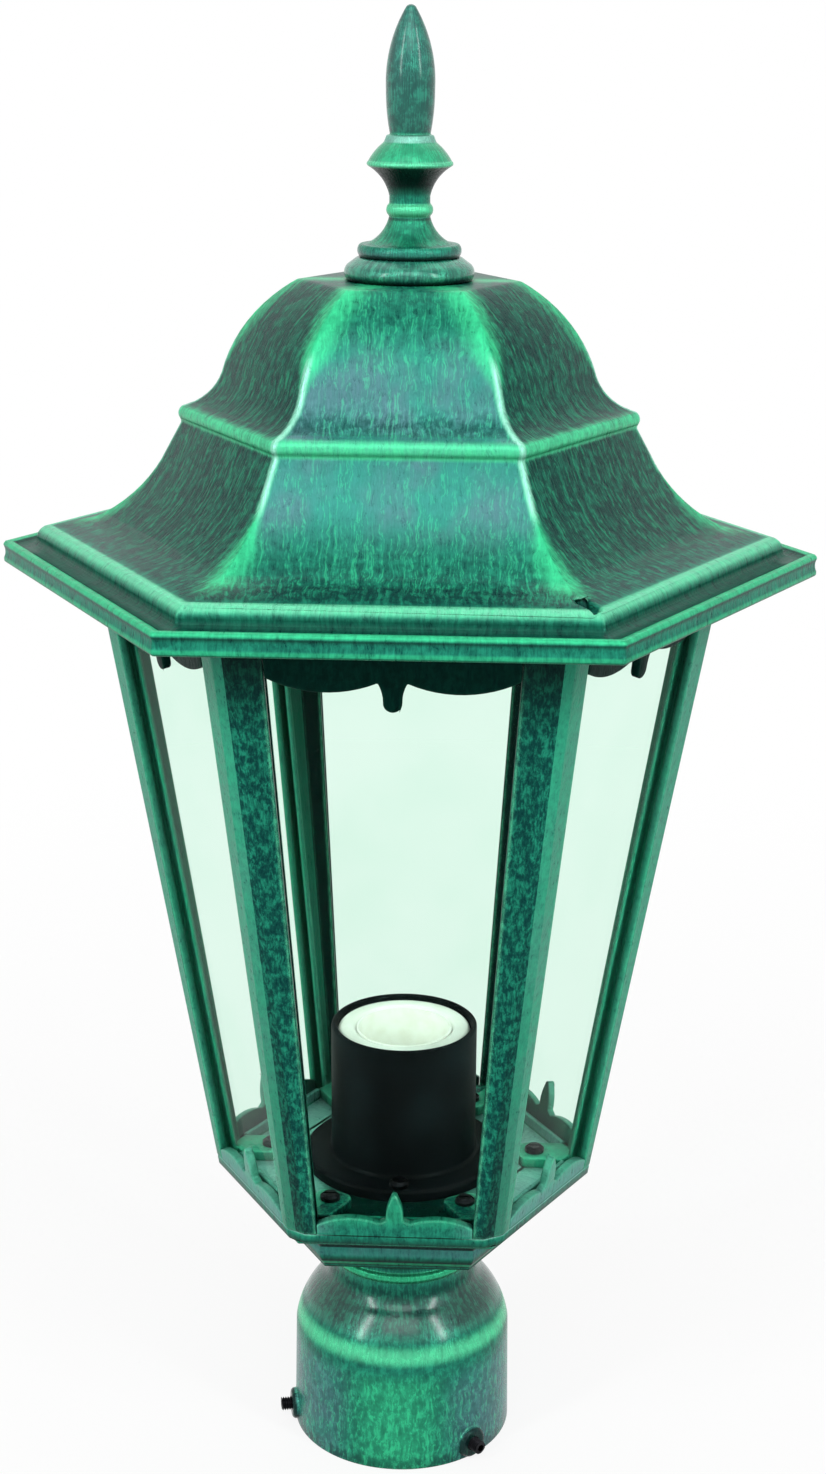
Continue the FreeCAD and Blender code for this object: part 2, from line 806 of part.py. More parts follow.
def make_cable_nipple():
    """Hollow threaded tube that joins tray and socket and brings the cable in."""
    stack = washer_wall + nipple_nut_height + nipple_past_nut
    low = neck_floor_z - stack
    high = floor_z + stack
    return turned((nipple_bore_r, low),
                  [(nipple_r - nipple_chamfer, low), (nipple_r, low + nipple_chamfer),
                   (nipple_r, high - nipple_chamfer), (nipple_r - nipple_chamfer, high),
                   (nipple_bore_r, high)])


def make_nipple_washers():
    hole_r = nipple_r + pass_gap
    return Part.makeCompound([cylinder(washer_r, z, z + washer_wall).cut(drill(hole_r, z, z + washer_wall))
                              for z in (neck_floor_z - washer_wall, floor_z)])


def make_nipple_nuts():
    low = neck_floor_z - washer_wall - nipple_nut_height
    return Part.makeCompound([hexagon_nut(nipple_nut_across, nipple_r + thread_gap, z, z + nipple_nut_height)
                              for z in (low, floor_z + washer_wall)])


def make_post_foot_screws():
    places = [around(foot_screw_r(), STEP_DEG * k) for k in range(SIDES)]
    return Part.makeCompound([pan_screw(x, y, floor_z + lug_wall, lug_wall + floor_wall) for x, y in places])


def make_post_head_screws():
    places = [around(head_screw_r(), STEP_DEG * k) for k in range(SIDES)]
    return Part.makeCompound([pan_screw(x, y, seat_z, ring_wall + lug_wall) for x, y in places])


def make_bridge_screws():
    return Part.makeCompound([pan_screw(0, y, seat_z + bar_wall, bar_wall + ring_wall)
                              for y in (-bar_screw_y, bar_screw_y)])


def make_shroud_screws():
    return Part.makeCompound([pan_screw(0, y, floor_z + shroud_foot, shroud_foot + floor_wall)
                              for y in (-shroud_screw_r, shroud_screw_r)])


def make_earth_screw():
    x, y = around(earth_r, earth_deg)
    return pan_screw(x, y, floor_z, floor_wall)


nodes = {
    "post_socket": make_post_socket(),
    "base_tray": make_base_tray(),
    "top_ring": make_top_ring(),
    "roof": make_roof(),
    "crown_disc": make_crown_disc(),
    "finial": make_finial(),
    "finial_stud": make_finial_stud(),
    "bridge_bar": make_bridge_bar(),
    "bridge_nut": hexagon_nut(nut_across, stud_r + thread_gap, seat_z - nut_height, seat_z),
    "bridge_screws": make_bridge_screws(),
    "lamp_shroud": make_lamp_shroud(),
    "lamp_insulator": make_lamp_insulator(),
    "lamp_screw_shell": make_lamp_screw_shell(),
    "lamp_contact": make_lamp_contact(),
    "terminal_screws": make_terminal_screws(),
    "shroud_screws": make_shroud_screws(),
    "cable_nipple": make_cable_nipple(),
    "nipple_washers": make_nipple_washers(),
    "nipple_nuts": make_nipple_nuts(),
    "post_foot_screws": make_post_foot_screws(),
    "post_head_screws": make_post_head_screws(),
    "earth_screw": make_earth_screw(),
}
for k in range(SIDES):
    nodes[f"corner_post_{k + 1}"] = make_post(k)
    nodes[f"glass_pane_{k + 1}"] = make_pane(k)
for k in range(set_screws):
    nodes[f"set_screw_{k + 1}"] = make_set_screw(k)

os.makedirs("parts", exist_ok=True)
for name, shape in nodes.items():
    shape.exportStep(f"parts/{name}.step")
    print(f"{name:20s} solids {len(shape.Solids)} valid {shape.isValid()} volume {shape.Volume:10.1f}")
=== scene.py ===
import math

import bpy
from mathutils import Matrix, Vector


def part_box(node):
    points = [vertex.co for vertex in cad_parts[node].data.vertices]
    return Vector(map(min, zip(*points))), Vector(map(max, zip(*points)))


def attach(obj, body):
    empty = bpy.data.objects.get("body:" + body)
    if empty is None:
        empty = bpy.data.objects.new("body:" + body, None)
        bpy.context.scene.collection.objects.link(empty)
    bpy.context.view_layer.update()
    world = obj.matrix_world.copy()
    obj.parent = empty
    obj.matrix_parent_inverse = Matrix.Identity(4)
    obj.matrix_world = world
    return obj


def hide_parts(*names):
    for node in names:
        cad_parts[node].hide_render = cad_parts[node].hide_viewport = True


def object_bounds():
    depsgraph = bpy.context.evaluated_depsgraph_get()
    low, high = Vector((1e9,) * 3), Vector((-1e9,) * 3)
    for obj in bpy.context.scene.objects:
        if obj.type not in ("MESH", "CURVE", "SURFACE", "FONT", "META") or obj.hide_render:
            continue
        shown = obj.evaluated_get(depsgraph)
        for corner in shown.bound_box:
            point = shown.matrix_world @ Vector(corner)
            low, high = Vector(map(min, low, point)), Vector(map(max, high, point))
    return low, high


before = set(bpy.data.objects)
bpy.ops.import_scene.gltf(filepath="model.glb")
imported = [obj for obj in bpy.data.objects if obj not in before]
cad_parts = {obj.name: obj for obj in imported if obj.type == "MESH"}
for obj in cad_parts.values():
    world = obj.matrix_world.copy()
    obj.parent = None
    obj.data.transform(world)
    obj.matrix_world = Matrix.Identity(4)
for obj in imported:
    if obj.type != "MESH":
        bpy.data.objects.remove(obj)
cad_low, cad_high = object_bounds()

# Camera: stands in front of the lantern, level with its finial, and looks down at the cage.
# It is turned and rolled as the picture is framed. Blender lays the sensor's width along the
# longer side of a picture, which is its height here.
PICTURE_HEIGHT_PX = 1474
FOCAL_LENGTH_PX = 2355.9
SENSOR_HEIGHT = 36.0
CAMERA_DISTANCE = 0.633
CAMERA_HEIGHT = 0.4113
CAMERA_ROUND_DEG = 2.673
CAMERA_YAW_DEG = 0.175
CAMERA_DOWN_DEG = 17.127
CAMERA_ROLL_DEG = 0.442

camera_data = bpy.data.cameras.new("camera")
camera_data.sensor_width = SENSOR_HEIGHT
camera_data.lens = FOCAL_LENGTH_PX / PICTURE_HEIGHT_PX * SENSOR_HEIGHT
camera_data.clip_start = 0.01
camera_data.clip_end = 100.0
camera = bpy.data.objects.new("camera", camera_data)
bpy.context.scene.collection.objects.link(camera)
round_the_pole = Matrix.Rotation(math.radians(CAMERA_ROUND_DEG), 4, "Z")
aim = Matrix.Rotation(math.radians(-CAMERA_YAW_DEG), 4, "Z") \
    @ Matrix.Rotation(math.radians(90 - CAMERA_DOWN_DEG), 4, "X") \
    @ Matrix.Rotation(math.radians(CAMERA_ROLL_DEG), 4, "Z")
camera.matrix_world = round_the_pole @ Matrix.Translation((0, -CAMERA_DISTANCE, CAMERA_HEIGHT)) @ aim
bpy.context.scene.camera = camera
bpy.context.scene.view_settings.view_transform = "Standard"


# Light: a wide soft lamp above the camera and one behind the lantern, two upright strips left and
# right, whose glints sit side by side on the socket's shoulder and the spire, and a plain white room
# all round.
class Wire:
    """One socket of a material that is being built. Sums and products of wires add Math nodes."""

    def __init__(self, tree, socket=None):
        self.tree = tree
        self.socket = socket

    def node(self, kind, settings=None, inputs=None, output=0):
        """A node of a kind, its settings set first, then its sockets' values or links."""
        made = self.tree.nodes.new("ShaderNode" + kind)
        for name, value in (settings or {}).items():
            setattr(made, name, value)
        for name, value in (inputs or {}).items():
            if isinstance(value, Wire):
                self.tree.links.new(value.socket, made.inputs[name])
            else:
                made.inputs[name].default_value = value
        return Wire(self.tree, made.outputs[output] if made.outputs else None)

    def math(self, operation, *values):
        return self.node("Math", {"operation": operation}, dict(enumerate(values)))

    def __add__(self, other):
        return self.math("ADD", self, other)

    def __sub__(self, other):
        return self.math("SUBTRACT", self, other)

    def __mul__(self, other):
        return self.math("MULTIPLY", self, other)

    def __truediv__(self, other):
        return self.math("DIVIDE", self, other)

    def __rsub__(self, other):
        return self.math("SUBTRACT", other, self)

    __radd__ = __add__
    __rmul__ = __mul__

    def __abs__(self):
        return self.math("ABSOLUTE", self)

    def rise(self, low, high):
        """Smooth step from 0 where this is at low to 1 where it is at high."""
        return self.node("MapRange", {"interpolation_type": "SMOOTHSTEP"},
                         {"Value": self, "From Min": low, "From Max": high})

    def between(self, low, high, soft):
        """1 where this lies between two values, with soft ends inside them."""
        return self.rise(low, low + soft) * (1 - self.rise(high - soft, high))

    def or_else(self, other):
        return self.math("MAXIMUM", self, other)

    def colours(self, low, high):
        """Colour between two others, by this mask."""
        return self.node("Mix", {"data_type": "RGBA"}, {0: self, 6: low, 7: high}, 2)


LAMP_DISTANCE = 1.7
ROOM_LIGHT = 0.34
# Each lamp's name, azimuth and elevation in degrees, width and height in metres, and power in watts.
lamps = [("lamp_front", 0, 50, 1.2, 1.2, 10.5), ("lamp_left", -45, 28, 0.17, 1.1, 10.0),
         ("lamp_right", 50, 28, 0.17, 1.1, 10.0), ("lamp_back", 180, 60, 1.5, 1.5, 8.0)]
lamp_target = (cad_low + cad_high) / 2
for name, azimuth, elevation, width, height, power in lamps:
    lamp_data = bpy.data.lights.new(name, "AREA")
    lamp_data.shape = "RECTANGLE"
    lamp_data.size = width
    lamp_data.size_y = height
    lamp_data.energy = power
    lamp = bpy.data.objects.new(name, lamp_data)
    bpy.context.scene.collection.objects.link(lamp)
    around, up = math.radians(azimuth), math.radians(elevation)
    away = Vector((math.sin(around) * math.cos(up), -math.cos(around) * math.cos(up), math.sin(up)))
    turn = (-away).to_track_quat("-Z", "Y").to_matrix().to_4x4()
    lamp.matrix_world = Matrix.Translation(lamp_target + away * LAMP_DISTANCE) @ turn


def seen_directly(wires):
    """1 for rays from the camera, off gloss or through glass, 0 for rays that only carry light."""
    camera_ray = wires.node("LightPath", output="Is Camera Ray")
    glossy_ray = wires.node("LightPath", output="Is Glossy Ray")
    glass_ray = wires.node("LightPath", output="Is Transmission Ray")
    return camera_ray.or_else(glossy_ray).or_else(glass_ray)


world = bpy.data.worlds.new("white_room")
bpy.context.scene.world = world
world.use_nodes = True
world.node_tree.nodes.clear()
room = Wire(world.node_tree)
room_strength = seen_directly(room) * (1 - ROOM_LIGHT) + ROOM_LIGHT
room_glow = room.node("Background", inputs={"Color": (1, 1, 1, 1), "Strength": room_strength})
room.node("OutputWorld", inputs={"Surface": room_glow})


# Floor: a wide pale sheet that the socket's rim stands on. Close to the socket it keeps a soft
# shadow, and further out it is plain white where it is looked at. From below it is clear.
def blank(name):
    """A new material with nothing in it yet, and its wires."""
    material = bpy.data.materials.new(name)
    material.use_nodes = True
    material.node_tree.nodes.clear()
    return material, Wire(material.node_tree)


FLOOR_SIZE = 80.0
FLOOR_PAINT = (0.9, 0.9, 0.9, 1)
FLOOR_WHITE = 0.86
SHADOW_REACH = (0.12, 0.7)
bpy.ops.object.select_all(action="DESELECT")
bpy.ops.mesh.primitive_plane_add(size=FLOOR_SIZE, location=(0, 0, cad_low.z))
floor = bpy.context.object
floor.name = "floor"
bpy.ops.object.transform_apply(location=True)
floor_material, sheet = blank("pale_floor")
floor_place = sheet.node("TexCoord", output="Object")
from_pole = sheet.node("VectorMath", {"operation": "LENGTH"}, {0: floor_place}, "Value")
whiteness = from_pole.rise(*SHADOW_REACH) * (1 - FLOOR_WHITE) + FLOOR_WHITE
sheet_paint = sheet.node("BsdfDiffuse", inputs={"Color": FLOOR_PAINT})
sheet_white = sheet.node("Emission", inputs={"Color": (1, 1, 1, 1), "Strength": 1.0})
sheet_top = sheet.node("MixShader", inputs={0: seen_directly(sheet) * whiteness, 1: sheet_paint,
                                            2: sheet_white})
sheet_clear = sheet.node("BsdfTransparent", inputs={"Color": (1, 1, 1, 1)})
from_below = sheet.node("NewGeometry", output="Backfacing")
sheet_surface = sheet.node("MixShader", inputs={0: from_below, 1: sheet_top, 2: sheet_clear})
sheet.node("OutputMaterial", inputs={"Surface": sheet_surface})
floor.data.materials.append(floor_material)


# Pole socket: cast aluminium neck, shoulder and cylinder in one piece, painted dark teal and then
# brushed over with green, which stays thick on the raised edges. Its hollows carry painted shade.
def from_screen(red, green, blue):
    """A colour given as on a screen, 0 to 255, as the shader takes it."""
    parts = []
    for part in (red, green, blue):
        share = part / 255
        parts.append(share / 12.92 if share <= 0.04045 else ((share + 0.055) / 1.055) ** 2.4)
    return (*parts, 1)


# FIRST_COAT_AND_SHADE is the near-black of the dark layer, which is mostly painted shade.
FIRST_COAT_AND_SHADE = from_screen(2, 18, 17)
TEAL_DARK = from_screen(8, 74, 66)
TEAL = from_screen(34, 146, 116)
STROKE_DARK = from_screen(4, 60, 58)
# The slate and lilac grey stand for painted reflection and painted light on faces that catch it.
PAINTED_LIGHT_SLATE = from_screen(56, 142, 132)
PAINTED_LIGHT_LILAC = from_screen(84, 126, 136)
SPRING_GREEN = from_screen(62, 218, 150)
# HIGHLIGHT_MINT is the colour of painted highlights on edges, crests and beads.
HIGHLIGHT_MINT = from_screen(176, 240, 222)
LACQUER_ROUGHNESS = 0.18
MERGE_WITHIN = 2e-5
QUAD_FLAT_DEG = 1
QUAD_SHAPE_DEG = 60
SHARP_DEG = 30
SMOOTH_DEG = 40


def softened(node, name, width):
    """A copy of a CAD node's mesh with its points merged and its sharp edges rounded."""
    piece = bpy.data.objects.new(name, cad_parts[node].data.copy())
    bpy.context.scene.collection.objects.link(piece)
    bpy.ops.object.select_all(action="DESELECT")
    piece.select_set(True)
    bpy.context.view_layer.objects.active = piece
    bpy.ops.mesh.customdata_custom_splitnormals_clear()
    bpy.ops.object.mode_set(mode="EDIT")
    bpy.ops.mesh.select_all(action="SELECT")
    bpy.ops.mesh.remove_doubles(threshold=MERGE_WITHIN)
    bpy.ops.mesh.tris_convert_to_quads(face_threshold=math.radians(QUAD_FLAT_DEG),
                                       shape_threshold=math.radians(QUAD_SHAPE_DEG))
    bpy.ops.object.mode_set(mode="OBJECT")
    rounding = piece.modifiers.new("rounding", "BEVEL")
    rounding.width = width
    rounding.segments = 3
    rounding.limit_method = "ANGLE"
    rounding.angle_limit = math.radians(SHARP_DEG)
    rounding.use_clamp_overlap = False
    bpy.ops.object.modifier_apply(modifier="rounding")
    bpy.ops.object.shade_smooth_by_angle(angle=math.radians(SMOOTH_DEG))
    return piece


MM_PER_M = 1000.0
SWAY_SCALE = 0.16
SWAY_MM = 2.4
# SHADE_REACH is how far off nearby parts the painted shade in hollows reaches.
SHADE_REACH = 0.02
WORN_BEND = (0.01, 0.12)
RELIEF_DEPTH = 0.0002
RAY_COUNT = 6


def painted(name, brush_way, zones, shine=0.08, smooth=0.25, flake=0.25, edge_width=0.0012):
    """The brushed paint. brush_way gives the place in the brush strokes' pattern. zones gives masks:
    slate for painted reflection and painted light, flecks where green is dabbed on, green on raised
    lines, pale for painted highlights on them, spikes where dark strokes reach up from a foot and for
    painted shade, dark for the near-black, which is mostly painted shade, lacquer where the clear coat
    lies thick, and lit where inner faces are spared the painted shade. Both take the position's wires,
    in millimetres, and a mask that is the same all over is a number. Inner faces, undersides and
    hollows get painted shade here as well. shine and smooth are how much the paint itself reflects and
    its least roughness, flake is its share of metal flakes, and edge_width is how far in from an edge
    the brush has worn it."""
    material, w = blank(name)
    place = w.node("VectorMath", {"operation": "SCALE"},
                   {0: w.node("TexCoord", output="Object"), "Scale": MM_PER_M})
    x, y, z = (w.node("SeparateXYZ", inputs={0: place}, output=k) for k in range(3))
    sway = w.node("TexNoise", inputs={"Vector": place, "Scale": SWAY_SCALE, "Detail": 2.0}, output=1)
    wander = w.node("VectorMath", {"operation": "SCALE"}, {0: sway, "Scale": SWAY_MM})
    straight = w.node("CombineXYZ", inputs=dict(enumerate(brush_way(w, x, y, z))))
    stroke_place = w.node("VectorMath", {"operation": "ADD"}, {0: straight, 1: wander})

    def clouds(where, scale, detail):
        noise = w.node("TexNoise", inputs={"Vector": where, "Scale": scale, "Detail": detail,
                                           "Roughness": 0.62})
        return noise.rise(0.34, 0.66)

    strokes = clouds(stroke_place, 1.0, 3.0)
    fine = clouds(stroke_place, 2.7, 2.0)
    patches = clouds(place, 0.055, 2.0)
    mottle = clouds(place, 0.4, 4.0)
    normal = w.node("NewGeometry", output="Normal")
    nx, ny, nz = (w.node("SeparateXYZ", inputs={0: normal}, output=k) for k in range(3))
    from_axis = w.math("SQRT", x * x + y * y) + 0.01
    # Painted shade: inner faces, undersides and places shut in by nearby parts are darkened to near-black.
    inward = (0 - (nx * x + ny * y) / from_axis).rise(0.15, 0.6)
    downward = (0 - nz).rise(0.05, 0.5)
    round_normal = w.node("Bevel", {"samples": RAY_COUNT}, {"Radius": edge_width})
    bend = w.node("VectorMath", {"operation": "DOT_PRODUCT"}, {0: normal, 1: round_normal}, "Value")
    open_air = w.node("AmbientOcclusion", {"samples": RAY_COUNT}, {"Distance": SHADE_REACH}, "AO")
    worn = (1 - bend).rise(*WORN_BEND) * open_air.rise(0.45, 0.8) * 0.7
    brushed = strokes * 0.4 + fine * 0.2 + mottle * 0.4
    masks = zones(w, x, y, z)
    if "lit" in masks:
        inward = inward * (1 - masks["lit"])
    masks["green"] = worn.or_else(masks.get("green", 0))
    # The pale share on worn edges is a painted highlight.
    masks["pale"] = (worn * 0.35).or_else(masks.get("pale", 0))
    shaded = downward.or_else(inward) * (1 - masks["green"] * 0.85)
    shut_in = 1 - open_air.rise(0.1, 0.6)
    if "slate" in masks:
        shut_in = shut_in * (1 - masks["slate"] * 0.6)
    shaded = shaded.or_else(shut_in)
    if "spikes" in masks:
        masks["spikes"] = masks["spikes"] * (1 - masks["green"] * 0.9)
    # The dark layer joins this painted shade with each piece's own dark zones.
    masks["dark"] = shaded.or_else(masks.get("dark", 0))
    # The slate layer is painted reflection and painted light.
    layers = [("slate", fine * 0.25 + mottle * 0.15 + 0.62, patches.colours(PAINTED_LIGHT_SLATE, PAINTED_LIGHT_LILAC)),
              ("flecks", (fine * strokes).rise(0.3, 0.9), SPRING_GREEN),
              ("green", brushed * 0.55 + 0.55, SPRING_GREEN),
              ("pale", fine * 0.4 + 0.6, HIGHLIGHT_MINT),
              ("spikes", 1 - brushed.rise(0.25, 0.85), STROKE_DARK),
              ("dark", mottle * 0.07 + 0.92, FIRST_COAT_AND_SHADE)]
    coat = brushed.colours(TEAL_DARK, TEAL)
    for zone, cover, colour in layers:
        if zone in masks:
            coat = (masks[zone] * cover).colours(coat, colour)
    relief = strokes * 0.5 + fine * 0.3 + mottle * 0.4
    bump = w.node("Bump", inputs={"Strength": 0.35, "Distance": RELIEF_DEPTH, "Height": relief})
    finish = {"Base Color": coat, "Roughness": brushed * 0.16 + smooth, "Metallic": flake,
              "Specular IOR Level": shine, "Normal": bump}
    if "lacquer" in masks:
        finish["Coat Weight"] = masks["lacquer"]
        finish["Coat Roughness"] = LACQUER_ROUGHNESS
    paint = w.node("BsdfPrincipled", inputs=finish)
    w.node("OutputMaterial", inputs={"Surface": paint})
    return material


STROKES_PER_TURN = 28.0


def turned_strokes(w, x, y, z):
    """Brush strokes that run up and down a round piece."""
    turn = w.math("ARCTAN2", y, x)
    r = w.math("SQRT", x * x + y * y)
    return turn * STROKES_PER_TURN, z * 0.2 + r * 0.16, r * 0.02


SOCKET_R = 32.5
FOOT_STROKES_Z = (0, 9)
WALL_TOP_Z = (26, 33)
SOCKET_HIGHLIGHT_Z = 36.6
SHOULDER_Z = (41, 55)
LACQUER_Z = (39, 52)
BEAD_Z = (55.0, 59.2)
NECK_Z = 59.0


def socket_zones(w, x, y, z):
    # Painted reflection: slate on the wall's left and right sides, greener in front. Painted highlight:
    # the green and pale band at the shoulder's foot. Painted shade: the near-black neck under the tray.
    side = abs(x) / SOCKET_R
    boss = w.math("SQRT", x * x + y * y).rise(SOCKET_R + 0.4, SOCKET_R + 0.9)
    painted_band_highlight = 1 - abs(z - SOCKET_HIGHLIGHT_Z).rise(0.3, 3.6)
    bead = z.between(*BEAD_Z, 0.8)
    shoulder = z.between(*SHOULDER_Z, 3) * 0.6
    wall = 1 - z.rise(*WALL_TOP_Z)
    return {"green": (painted_band_highlight * 0.9).or_else(bead * 0.6).or_else(wall * (1 - side.rise(0.1, 0.6)) * 0.4),
            "slate": wall * side.rise(0.3, 0.7) * 0.8,
            "pale": painted_band_highlight * 0.15,
            "spikes": ((1 - z.rise(*FOOT_STROKES_Z)) * 0.8).or_else(shoulder).or_else(wall * 0.3),
            "flecks": wall * 0.35,
            "lacquer": z.between(*LACQUER_Z, 3) * 0.7,
            "dark": z.rise(NECK_Z, NECK_Z + 2).or_else(shoulder * 0.7).or_else(boss * 0.9)}


socket_paint = painted("socket_paint", turned_strokes, socket_zones, shine=0.15, smooth=0.18, flake=0.4)


def dressed(piece, node, body, material):
    """Gives a piece its finish, and puts it in place of its CAD node."""
    piece.data.materials.clear()
    piece.data.materials.append(material)
    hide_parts(node)
    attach(piece, body)


dressed(softened("post_socket", "socket_casting", width=0.0003), "post_socket", "cage",
        socket_paint)


# Set screws: three black oxide steel screws with a hexagon key recess, cut with an M4 thread, and
# driven through the socket's bosses against the pole. The screws at the feet of the lamp holder and
# of the posts have the same finish.
THREAD_STEPS = 24
THREAD_SMOOTH_DEG = 25
CUT_WITHIN = 1e-7
# One turn of a thread in profile: steps across, in thread depths, and up, in pitches.
THREAD_FORM = ((1, 0.35), (0, 0.15), (-1, 0.35), (0, 0.15))


def screw_thread(name, radius, depth, pitch, low, high, hole=None):
    """A closed rod with a thread, standing on the axis between two heights. A hole is given by its
    number of sides, its radius and the height that it reaches down to from the top."""
    bpy.ops.object.select_all(action="DESELECT")
    bpy.ops.mesh.primitive_circle_add(vertices=3, radius=radius, location=(0, 0, 0))
    rod = bpy.context.object
    rod.name = name
    bpy.ops.object.mode_set(mode="EDIT")
    bpy.ops.mesh.select_all(action="SELECT")
    bpy.ops.mesh.merge(type="CENTER")
    # The profile starts above the rod, because the screw operator winds it downwards.
    bpy.ops.transform.translate(value=(radius - depth, 0, high + pitch * 0.13))
    for across, up in THREAD_FORM:
        bpy.ops.mesh.extrude_region_move(TRANSFORM_OT_translate={"value": (across * depth, 0, up * pitch)})
    bpy.ops.mesh.select_all(action="SELECT")
    turns = math.ceil((high - low) / pitch) + 2
    bpy.ops.mesh.screw(steps=THREAD_STEPS, turns=turns, center=(0, 0, 0), axis=(0, 0, 1))
    bpy.ops.mesh.select_all(action="SELECT")
    bpy.ops.mesh.remove_doubles(threshold=pitch / 100)
    for height, side in ((low, -1), (high, 1)):
        bpy.ops.mesh.select_all(action="SELECT")
        bpy.ops.mesh.bisect(plane_co=(0, 0, height), plane_no=(0, 0, side), clear_outer=True,
                            threshold=CUT_WITHIN)
    bpy.ops.mesh.select_all(action="SELECT")
    bpy.ops.mesh.remove_doubles(threshold=pitch / 500)
    if hole:
        sides, hole_radius, bottom = hole
        bpy.ops.mesh.primitive_circle_add(vertices=sides, radius=hole_radius, location=(0, 0, high))
        bpy.ops.mesh.extrude_region_move(TRANSFORM_OT_translate={"value": (0, 0, bottom - high)})
        if bottom > low:
            bpy.ops.mesh.edge_face_add()
    # Each end is closed flat, round the hole where it has one.
    bpy.ops.mesh.select_mode(type="EDGE")
    for height in (low, high):
        bpy.ops.mesh.select_all(action="DESELECT")
        bpy.ops.mesh.select_non_manifold()
        bpy.ops.object.mode_set(mode="OBJECT")
        for edge in rod.data.edges:
            if any(abs(rod.data.vertices[k].co.z - height) > pitch / 100 for k in edge.vertices):
                edge.select = False
        bpy.ops.object.mode_set(mode="EDIT")
        bpy.ops.mesh.fill(use_beauty=False)
    bpy.ops.mesh.select_mode(type="VERT")
    bpy.ops.mesh.select_all(action="SELECT")
    bpy.ops.mesh.normals_make_consistent(inside=False)
    bpy.ops.object.mode_set(mode="OBJECT")
    bpy.ops.object.shade_smooth_by_angle(angle=math.radians(THREAD_SMOOTH_DEG))
    return rod


def metal(name, colour, dull, roughness, spread, share=1.0):
    """Plain metal with fine tool lines and a dull bloom in patches. A plating as pale as paint has a
    lower share of metal in its look."""
    material, w = blank(name)
    place = w.node("TexCoord", output="Object")
    bloom = w.node("TexNoise", inputs={"Vector": place, "Scale": 260.0, "Detail": 4.0})
    lines = w.node("TexNoise", inputs={"Vector": place, "Scale": 2400.0, "Detail": 2.0})
    tint = (bloom * 0.7 + lines * 0.3).rise(0.35, 0.7).colours(colour, dull)
    bump = w.node("Bump", inputs={"Strength": 0.25, "Distance": 0.0001, "Height": lines})
    surface = w.node("BsdfPrincipled", inputs={"Base Color": tint, "Metallic": share,
                                               "Roughness": roughness + bloom * spread, "Normal": bump})
    w.node("OutputMaterial", inputs={"Surface": surface})
    return material


def finished(nodes, material):
    """Gives their finish to CAD nodes that are shown as they are."""
    for node in nodes:
        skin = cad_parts[node].data.materials
        skin.clear()
        skin.append(material)


SET_SCREW_R = 0.002
SET_SCREW_PITCH = 0.0007
SET_SCREW_THREAD = 0.0004
SET_SCREW_TIP = 0.0309
SET_SCREW_END = 0.0371
SET_SCREW_Z = 0.005
SET_SCREW_DEG = (-48, 72, 192)
KEY_SIDES = 6
KEY_R = 0.00115
KEY_DEPTH = 0.0016
black_oxide = metal("black_oxide", from_screen(26, 27, 30), from_screen(44, 44, 48), 0.28, 0.3)
for k, degrees in enumerate(SET_SCREW_DEG, 1):
    screw = screw_thread(f"set_screw_steel_{k}", SET_SCREW_R, SET_SCREW_THREAD, SET_SCREW_PITCH,
                         SET_SCREW_TIP, SET_SCREW_END, (KEY_SIDES, KEY_R, SET_SCREW_END - KEY_DEPTH))
    lying = Matrix.Translation((0, 0, SET_SCREW_Z)) @ Matrix.Rotation(math.radians(90), 4, "Y")
    screw.data.transform(Matrix.Rotation(math.radians(degrees), 4, "Z") @ lying)
    dressed(screw, f"set_screw_{k}", f"set_screw_{k}", black_oxide)
finished(["shroud_screws", "post_foot_screws"], black_oxide)


# Base tray: one casting with the cage's floor, six scalloped fences with a spike each, and a hollow
# stepped moulding that stands on the socket's neck. The brush caught the fences' tops.
def on_faces(w, x, y):
    """For a six-sided piece: distance along the nearest face from its middle, that face's distance
    from the axis, and 1 on the front and back faces, 0 on the four others."""
    sixth = math.pi / 3
    sector = w.math("FLOOR", w.math("ARCTAN2", y, x) / sixth)
    aim = (sector + 0.5) * sixth
    c, s = w.math("COSINE", aim), w.math("SINE", aim)
    return y * c - x * s, x * c + y * s, abs(s).rise(0.6, 0.9)


def face_strokes(w, x, y, z):
    """Brush strokes that run up and down the faces of a six-sided piece."""
    along, out, front = on_faces(w, x, y)
    return along * 0.95 + front * 40.0, (z + out) * 0.15, out * 0.01 + z * 0.01


TRAY_Z = 83.1
FLOOR_TOP_Z = 86.1
MOULDING_Z = (72.5, 80.2)
WAIST_Z = (69.6, 71.4)
BESIDE_HOLDER_X = (14, 27)


def tray_zones(w, x, y, z):
    # Painted light lightens the floor and fences beside the lamp holder and the moulding's face. Painted
    # shade darkens the band under the floor and everything below the waist. The floor in front of and
    # behind the holder is painted darker.
    floor_top = z.between(FLOOR_TOP_Z - 0.3, FLOOR_TOP_Z + 0.3, 0.2)
    moulding = z.between(*MOULDING_Z, 1.5)
    under_band = z.between(MOULDING_Z[1] - 0.4, TRAY_Z - 1.3, 0.5)
    waist = z.between(*WAIST_Z, 0.6)
    below = 1 - z.rise(WAIST_Z[0] - 0.6, WAIST_Z[0])
    beside = abs(x).rise(*BESIDE_HOLDER_X)
    fence = z.rise(FLOOR_TOP_Z + 0.3, FLOOR_TOP_Z + 1)
    return {"slate": (floor_top * beside * 0.95).or_else(moulding * 0.55).or_else(fence * beside * 0.6),
            "lit": z.rise(FLOOR_TOP_Z - 1, FLOOR_TOP_Z),
            "pale": (floor_top * beside * 0.45).or_else(fence * beside * 0.15),
            "green": (waist * 0.55).or_else(z.rise(TRAY_Z + 5, TRAY_Z + 9) * 0.2),
            "spikes": floor_top * (1 - beside) * 0.6,
            "dark": (under_band * 0.85).or_else(below * 0.9).or_else(floor_top * (1 - beside) * 0.9)}


